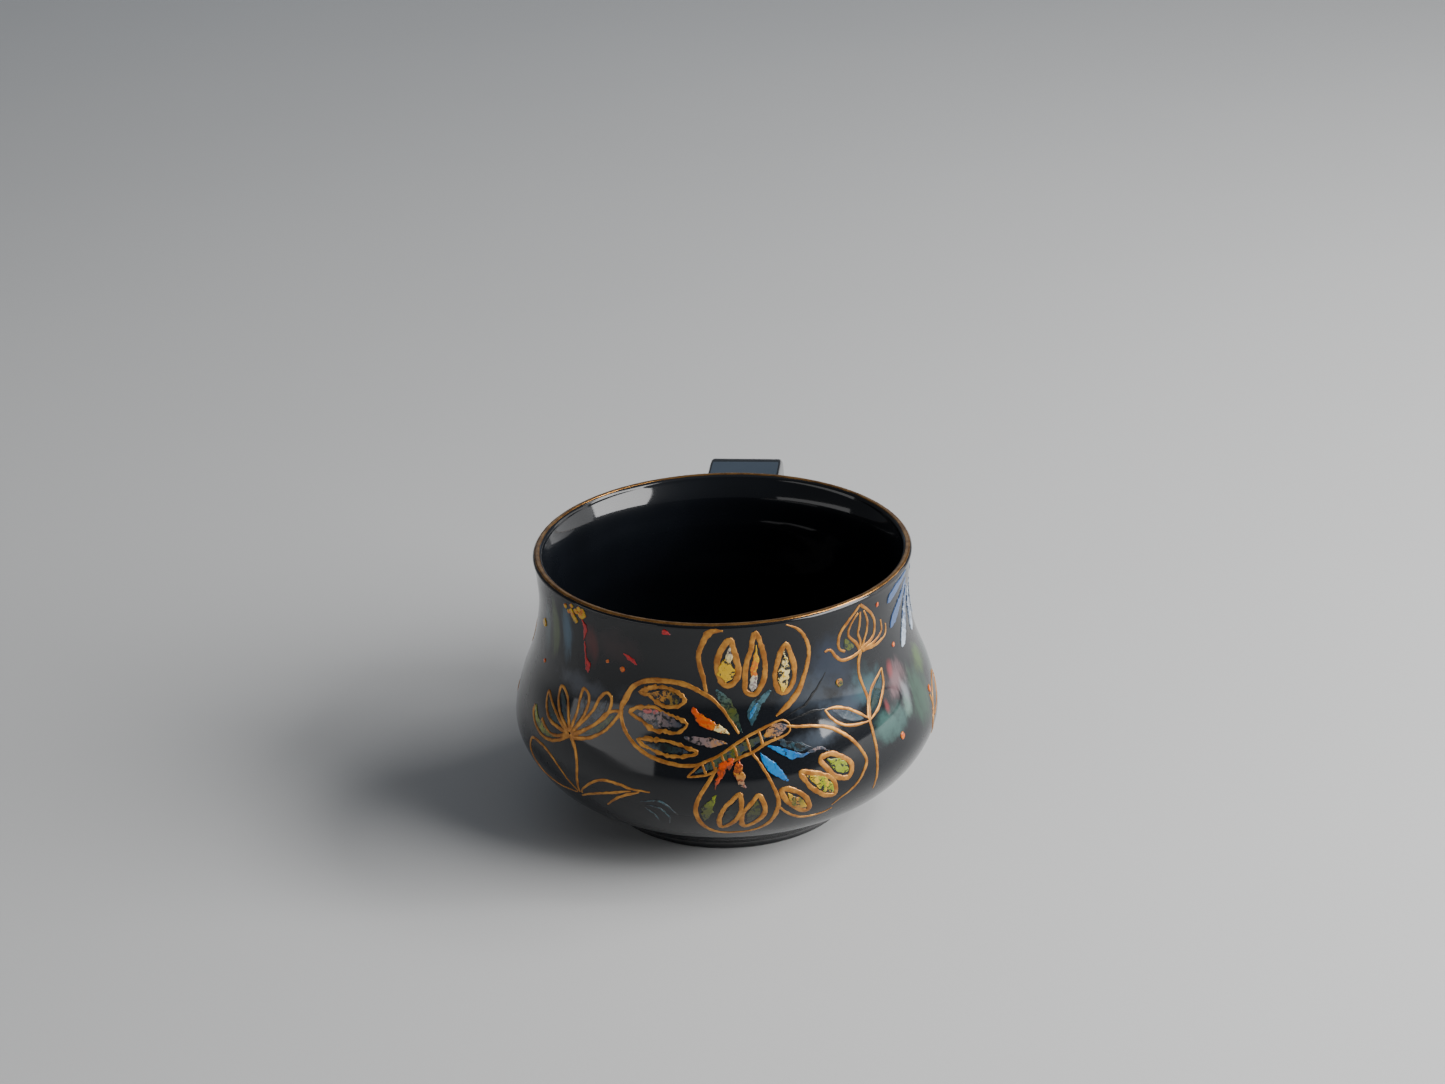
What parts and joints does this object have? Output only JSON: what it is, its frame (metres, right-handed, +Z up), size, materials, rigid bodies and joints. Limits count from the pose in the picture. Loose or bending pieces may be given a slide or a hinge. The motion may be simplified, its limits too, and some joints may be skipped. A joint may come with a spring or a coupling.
{
  "type": "painted lacquer bowl-cup",
  "caption": "Low-bellied turned bowl-cup in black lacquer with a gilded lip, a sawn handle at the back and raised painted butterfly and flower lines.",
  "frame": {"origin": "centre of the foot's flat underside, on the bowl's turning axis", "axes": "+Z up along the turning axis, -Y towards the painted front, +Y towards the handle"},
  "size_m": [0.1016, 0.1245, 0.066],
  "materials": {
    "black_lacquer": "high-gloss black lacquer over lime wood",
    "gold_paint": "satin bronze-gold paint, slightly raised",
    "bare_wood": "plain turned wood",
    "enamel_colours": "glossy thick enamel paint in yellow, blue, orange, green and white"
  },
  "bodies": {
    "root": {"bowl_body": "black_lacquer", "rim_gilding": "gold_paint", "handle": "black_lacquer", "upper_handle_dowel": "bare_wood", "lower_handle_dowel": "bare_wood", "butterfly_outline": "gold_paint", "open_flower_petals": "gold_paint", "flower_bud_petals": "gold_paint"}
  },
  "joints": []
}
